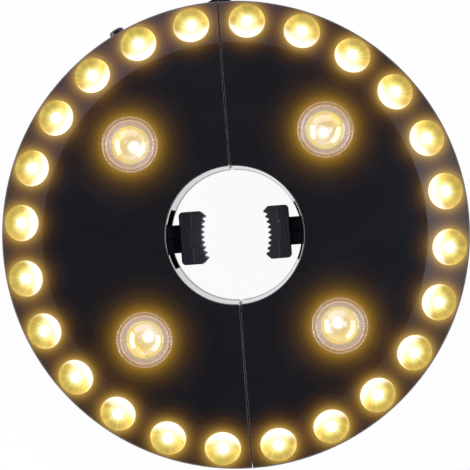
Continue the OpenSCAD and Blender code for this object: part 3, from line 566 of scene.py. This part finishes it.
steel = nickelPlatedSteel()
epoxy = castEpoxy()
lensClear = polishedPolycarbonate()
spotMetal = metallisedSpot()
paint(mouldedAbsSatin(True), *bothSides("front_shell"))
paint(mouldedAbsSatin(False), *bothSides("rear_shell", "battery_door"), "push_button")
paint(mouldedNylonMatt(), *bothSides("jaw_holder", "jaw_guide", "hook"))
paint(mouldedRubber(), *bothSides("jaw_pad"))
paint(metallisedPlastic(), *bothSides("reflector_ring"))
paint(phosphorSilicone(), *bothSides("spot_lamps"))
paint(solderMaskBoard(), *bothSides("lamp_board"), "control_board")
paint(steel, *bothSides("cell_plates", "housing_screws"), "hinge_pin", "tact_switch")
paint(shrunkSleeve(), *bothSides("cell_inner", "cell_outer"))
print("materials made,", len(bpy.data.materials))


def addObject(name, data):
    made = bpy.data.objects.new(name, data)
    bpy.context.scene.collection.objects.link(made)
    return made


# Turned pieces, smoother than the solids that they stand for

sharpFrom = math.radians(32)     # an edge that bends more than this stays crisp
onAxis = 1e-6


def arcPoints(centre, radii, start, stop, steps):
    # points of an arc of an ellipse, between two angles in degrees
    angles = [math.radians(start + (stop - start) * i / steps) for i in range(steps + 1)]
    return [(centre[0] + radii[0] * math.cos(a), centre[1] + radii[1] * math.sin(a)) for a in angles]


def turnedPiece(name, section, places, material, body, replaced, around):
    # a section of radius and height in mm, turned about its own Z at each place; it closes on itself
    # unless it starts and ends on the axis
    circle = [2 * math.pi * k / around for k in range(around)]
    points, faces = [], []
    for place in places:
        rings = []
        for radius, height in section:
            if radius < onAxis:
                rings.append([len(points)] * around)
                points.append(place @ Vector((0, 0, height)))
                continue
            rings.append(list(range(len(points), len(points) + around)))
            points += [place @ Vector((radius * math.cos(a), radius * math.sin(a), height)) for a in circle]
        pairs = list(zip(rings, rings[1:]))
        if section[0][0] > onAxis:
            pairs.append((rings[-1], rings[0]))
        for low, high in pairs:
            for k in range(around):
                corners = (low[k], low[(k + 1) % around], high[(k + 1) % around], high[k])
                faces.append(tuple(dict.fromkeys(corners)))
    mesh = bpy.data.meshes.new(name)
    mesh.from_pydata([p * mm for p in points], [], faces)
    mesh.shade_smooth()
    mesh.set_sharp_from_angle(angle=sharpFrom)
    mesh.materials.append(material)
    piece = addObject(name, mesh)
    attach(piece, body)
    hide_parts(replaced)


lensSize = {
    "flangeFoot": -1.2,
    "body": (8.9, -2.0),     # radius and underside of what stands in the shell
    # beads on the flange: mm in from its edge, height of the middle, half its width and height, steps
    "beads": ((0.35, 0.05, 0.35, 0.35, 10), (1.0, 0.0, 0.2, 0.12, 6), (1.8, 0.02, 0.34, 0.35, 10)),
    "step": (2.5, -0.1),     # mm in from the edge, and height
    "sunkRing": ((0.95, -0.3), (0.45, 0.4), 40, -90, 8),     # outside the dome, hollow between two angles
    "dome": 7.7,
    "domeFoot": -0.4,
    "domeHeight": 3.6,
    "domeSteps": 40,
    "around": 128,
}


def lensSection():
    s = lensSize
    edge = housing["lensRadius"]
    radius, foot = s["body"]
    outline = [(0, foot), (radius, foot), (radius, s["flangeFoot"]), (edge, s["flangeFoot"])]
    for inset, height, halfWidth, halfHeight, steps in s["beads"]:
        outline += arcPoints((edge - inset, height), (halfWidth, halfHeight), 0, 180, steps)
    outline += [(edge - s["step"][0], s["step"][1])]
    (beside, height), *hollow = s["sunkRing"]
    outline += arcPoints((s["dome"] + beside, height), *hollow)
    rise = s["domeHeight"] - s["domeFoot"]
    ball = (s["dome"] ** 2 + rise ** 2) / (2 * rise)
    turn = math.degrees(math.asin(s["dome"] / ball))
    outline += arcPoints((0, s["domeHeight"] - ball), (ball, ball), 90 - turn, 90, s["domeSteps"])[:-1]
    return outline + [(0, s["domeHeight"])]


def spotPlace(sign, up):
    return Matrix.Translation((sign * spotHome, up * spotHome, housing["faceHeight"]))


def spotLenses():
    for side, sign in sides.items():
        for word, up in (("upper", 1), ("lower", -1)):
            turnedPiece(f"lens{word.title()}{side.title()}", lensSection(), [spotPlace(sign, up)], lensClear,
                        f"{side}_half", f"spot_lens_{word}_{side}", lensSize["around"])


spotCone = {
    "depth": 9.55,           # foot below the face; the heights count from the foot
    "foot": 3.94,
    "inner": (1.2, 7.2),     # heights of the lit wall
    "mouth": 7.8,
    "bulge": 0.8,            # below 1, the wall widens fastest at its foot
    "steps": 16,
    "outer": ((5.04, 0), (5.04, 0.8), (8.4, 5.7), (9.2, 6.5), (9.2, 7.2)),
    "around": 96,
}


def spotReflectors():
    s = spotCone
    low, top = s["inner"]
    shares = [i / s["steps"] for i in range(s["steps"], -1, -1)]
    inner = [(s["foot"] + (s["mouth"] - s["foot"]) * share ** s["bulge"], low + (top - low) * share)
             for share in shares]
    section = [(r, z - s["depth"]) for r, z in [(s["foot"], 0), *s["outer"], *inner]]
    for side, sign in sides.items():
        places = [spotPlace(sign, up) for up in (1, -1)]
        turnedPiece(f"spotReflectors{side.title()}", section, places, spotMetal, f"{side}_half",
                    f"spot_reflectors_{side}", s["around"])


lampSize = {
    "body": 2.5,
    "flange": (2.9, 5.5),    # radius, and how far its top is below the lip
    "seat": 6.4,
    "out": 2.2,              # tip above the plane of the lip
    "steps": 16,
    "around": 48,
}


def ringLamps():
    s = lampSize
    wide, top = s["flange"]
    section = [(0, -s["seat"]), (wide, -s["seat"]), (wide, -top), (s["body"], -top)]
    section += arcPoints((0, s["out"] - s["body"]), (s["body"], s["body"]), 0, 90, s["steps"])[:-1]
    section += [(0, s["out"])]
    lip = Matrix.Translation((housing["cupRing"], 0, cupHeight)) @ Matrix.Rotation(cupLean, 4, "Y")
    for side, sign in sides.items():
        turns = [(i + 0.5) * cupPitch - sign * math.pi / 2 for i in range(housing["cupCount"] // 2)]
        places = [Matrix.Rotation(turn, 4, "Z") @ lip for turn in turns]
        turnedPiece(f"ringLamps{side.title()}", section, places, epoxy, f"{side}_half", f"ring_lamps_{side}",
                    s["around"])


spotLenses()
spotReflectors()
ringLamps()
print("lenses, reflectors and ring lamps turned")


# Springs, wound finer than the solids that they stand for

winding = {"stepsPerTurn": 32, "wireRoundness": 4}


def coilPoints(radii, heights, turns, start=0.0):
    # points of a coil round Z, from one radius and height to the other
    count = round(turns * winding["stepsPerTurn"])
    points = []
    for i in range(count + 1):
        share = i / count
        a = start + 2 * math.pi * turns * share
        r = radii[0] + (radii[1] - radii[0]) * share
        z = heights[0] + (heights[1] - heights[0]) * share
        points.append(Vector((r * math.cos(a), r * math.sin(a), z)))
    return points


def wirePiece(name, paths, wireMm, body, replaced):
    # round wire along paths in mm; body is None for the spring that two bodies bend between them
    curve = bpy.data.curves.new(name, "CURVE")
    curve.dimensions = "3D"
    curve.bevel_depth = wireMm / 2 * mm
    curve.bevel_resolution = winding["wireRoundness"]
    curve.use_fill_caps = True
    for path in paths:
        spline = curve.splines.new("POLY")
        spline.points.add(len(path) - 1)
        for point, where in zip(spline.points, path):
            point.co = (*(where * mm), 1.0)
    curve.materials.append(steel)
    drawn = bpy.data.objects.new(name + "Path", curve)
    mesh = bpy.data.meshes.new_from_object(drawn)
    bpy.data.objects.remove(drawn)
    mesh.name = name
    mesh.shade_smooth()
    piece = addObject(name, mesh)
    if body:
        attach(piece, body)
    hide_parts(replaced)
    return piece


hingeSpringSize = {
    "wire": 0.8,
    "coilRadius": 2.5,
    "low": 9.5,
    "high": 15.0,
    "turns": 4,
    "legAngle": 22.0,
    "legReach": 10.0,
}


def hingeSpring():
    s = hingeSpringSize
    r, a = s["coilRadius"], math.radians(s["legAngle"])
    leg = (s["legReach"] - r * math.sin(a)) / math.cos(a)
    out = Vector((math.cos(a), -math.sin(a), 0))
    first = Vector((r * math.sin(a), r * math.cos(a), s["low"]))
    last = Vector((-first.x, first.y, s["high"]))
    over = Vector((-out.x, out.y, 0))
    turns = s["turns"] + 2 * s["legAngle"] / 360
    path = [first + out * leg, first + out * leg / 2]
    path += coilPoints((r, r), (s["low"], s["high"]), turns, math.pi / 2 - a)
    path += [last + over * leg / 2, last + over * leg]
    shift = Vector((0, housing["pinRadius"], 0))
    spring = wirePiece("closingSpring", [[p + shift for p in path]], s["wire"], None, "hinge_spring")
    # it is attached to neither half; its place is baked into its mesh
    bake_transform(spring)


jawSpringSize = {
    "wire": 0.8,
    "coilRadius": 3.4,
    "turns": 9,
    "from": 28.8,
    "to": 51.8,
    "height": 20.0,
    "travel": 10.5,
}


def jawSprings():
    s = jawSpringSize
    coil = coilPoints((s["coilRadius"],) * 2, (s["from"], s["to"]), s["turns"])
    for side, sign in sides.items():
        path = [Vector((sign * p.z, p.y, s["height"] - p.x)) for p in coil]
        spring = wirePiece(f"jawSpring{side.title()}", [path], s["wire"], f"{side}_half",
                           f"jaw_spring_{side}")
        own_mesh(spring)


cellSpringSize = {"wire": 0.7, "radii": (4.85, 2.2), "turns": 3.5}


def cellSprings():
    s = cellSpringSize
    for side in sides:
        low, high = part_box(f"cell_springs_{side}")
        paths = []
        for row, way in (("inner", -1), ("outer", 1)):
            cellLow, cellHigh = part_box(f"cell_{row}_{side}")
            centre = (cellLow + cellHigh) / 2 / mm
            end = (high.y if way > 0 else low.y) / mm
            gap = abs(end - (cellHigh.y if way > 0 else cellLow.y) / mm) - s["wire"] / 2
            coil = coilPoints(s["radii"], (s["wire"] / 2, gap), s["turns"])
            paths.append([Vector((centre.x + p.x, end - way * p.z, centre.z + p.y)) for p in coil])
        wirePiece(f"cellSprings{side.title()}", paths, s["wire"], f"{side}_half", f"cell_springs_{side}")


buttonSpringSize = {
    "wire": 0.4,
    "coilRadius": 3.2,
    "turns": 2,
    "from": 93.8,
    "to": 96.1,
    "angle": 116.3,          # of the button round the disc, in degrees
    "height": 13.0,
    "travel": 1.3,
}


def buttonSpring():
    s = buttonSpringSize
    a = math.radians(s["angle"])
    out, side = Vector((math.cos(a), math.sin(a), 0)), Vector((-math.sin(a), math.cos(a), 0))
    coil = coilPoints((s["coilRadius"],) * 2, (s["from"], s["to"]), s["turns"])
    path = [out * p.z + side * p.x + Vector((0, 0, s["height"] + p.y)) for p in coil]
    spring = wirePiece("buttonSpring", [path], s["wire"], "left_half", "button_spring")
    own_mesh(spring)


hingeSpring()
jawSprings()
cellSprings()
buttonSpring()
print("springs wound")


stageLook = {
    "floor": "#ffffff",
    "floorHalf": 3.0,        # m
    "floorRoughness": 0.9,
    "shadowShare": 0.05,     # how much of the floor's own shading shows, the rest is plain white
    "skyLow": "#ffffff",
    "skyHigh": "#4c4b52",
    "skyTurn": (0.35, 0.85),     # heights between which the one becomes the other
    "backdrop": "#ffffff",       # what the camera sees instead
}


def paleFloor():
    s = stageLook
    half = s["floorHalf"]
    mesh = bpy.data.meshes.new("floor")
    mesh.from_pydata([(x * half, y * half, 0) for x, y in ((-1, -1), (1, -1), (1, 1), (-1, 1))], [],
                     [(0, 1, 2, 3)])
    floor = addObject("floor", mesh)
    material, tree, bsdf = newMaterial("paleFloorPaper")
    setSockets(tree, bsdf, {"Base Color": linear(s["floor"]), "Roughness": s["floorRoughness"]})
    path = addNode(tree, "LightPath").outputs
    seen = addNode(tree, "Math", (path["Is Camera Ray"], path["Is Glossy Ray"]), operation="ADD")
    seen = addNode(tree, "Math", (seen, path["Is Transmission Ray"]), operation="ADD", use_clamp=True)
    share = addNode(tree, "Math", (seen, 1 - s["shadowShare"]), operation="MULTIPLY")
    white = addNode(tree, "Emission", {"Color": linear(s["floor"]), "Strength": 1.0})
    mix = addNode(tree, "MixShader", (share, bsdf, white))
    setSockets(tree, tree.nodes["Material Output"], {"Surface": mix})
    mesh.materials.append(material)


def studioWorld():
    # white all round at the height of the horizon, dark overhead, so that the black face stays black
    s = stageLook
    world = bpy.data.worlds.new("studio")
    bpy.context.scene.world = world
    world.use_nodes = True
    tree = world.node_tree
    up = addNode(tree, "SeparateXYZ", (addNode(tree, "TexCoord").outputs["Generated"],)).outputs["Z"]
    height = addNode(tree, "MapRange", (up, *s["skyTurn"]), **smooth)
    sky = addNode(tree, "ValToRGB", (height,), ((0.0, s["skyLow"]), (1.0, s["skyHigh"])))
    seen = addNode(tree, "LightPath").outputs["Is Camera Ray"]
    mixed = addNode(tree, "Mix", {0: seen, 6: sky, 7: linear(s["backdrop"])}, data_type="RGBA")
    setSockets(tree, tree.nodes["Background"], {"Color": mixed, "Strength": 1.0})


lamps = {
    # direction from the face, distance m, width m, height m, watts, colour
    "boxRight": ((0.53, 0.02, 0.85), 1.3, 0.36, 0.62, 2.6, "#c4dcff"),
    "boxLeft": ((-0.41, 0.34, 0.85), 1.3, 0.36, 0.60, 1.2, "#dcd4ff"),
    "wallLeft": ((-0.95, -0.05, 0.30), 1.3, 0.72, 1.5, 15.0, "#fbf6ff"),
    "wallRight": ((0.87, -0.42, 0.30), 1.3, 0.78, 1.9, 17.0, "#fbf6ff"),
    "wallTop": ((-0.14, 0.88, 0.40), 1.6, 1.30, 2.4, 20.0, "#d6ccfc"),
}


def placed(right, up, back, location):
    # matrix of an object that looks against back
    return Matrix([(*row, at) for row, at in zip(zip(right, up, back), location)] + [(0, 0, 0, 1)])


def softboxes():
    target = Vector((0, 0, housing["faceHeight"] * mm))
    for name, (direction, distance, width, height, watts, colour) in lamps.items():
        light = bpy.data.lights.new(name, "AREA")
        light.shape = "RECTANGLE"
        light.size, light.size_y = width, height
        light.energy = watts
        light.color = linear(colour)[:3]
        box = addObject(name, light)
        way = Vector(direction).normalized()
        around = Vector((-way.y, way.x, 0)).normalized()     # a box's height runs round the disc
        box.matrix_world = placed(around.cross(way), around, way, target + way * distance)
        box.visible_camera = False


cameraSet = {
    "height": 0.565,         # m above the plane of the rim
    "offset": (0.0141, 0.0021),
    "roll": 4.3,             # degrees that the seam leans to the left
    "pxPerMm": 2.344,        # scale at the rim
    "rimHeight": 0.035,
    "photoPx": 470,
    "sensorMm": 36.0,
    "clip": (0.01, 50),
}


def photoCamera():
    s = cameraSet
    data = bpy.data.cameras.new("camera")
    camera = addObject("camera", data)
    bpy.context.scene.camera = camera
    data.sensor_width = s["sensorMm"]
    data.lens = s["sensorMm"] * s["pxPerMm"] / mm * s["height"] / s["photoPx"]
    data.clip_start, data.clip_end = s["clip"]
    target = Vector((0, 0, s["rimHeight"]))
    location = target + Vector((*s["offset"], s["height"]))
    back = (location - target).normalized()
    lean = math.radians(s["roll"])
    right = Vector((math.sin(lean), math.cos(lean), 0)).cross(back).normalized()
    camera.matrix_world = placed(right, back.cross(right), back, location)


paleFloor()
studioWorld()
softboxes()
photoCamera()
bpy.context.scene.view_settings.view_transform = "Standard"
print("stage set")
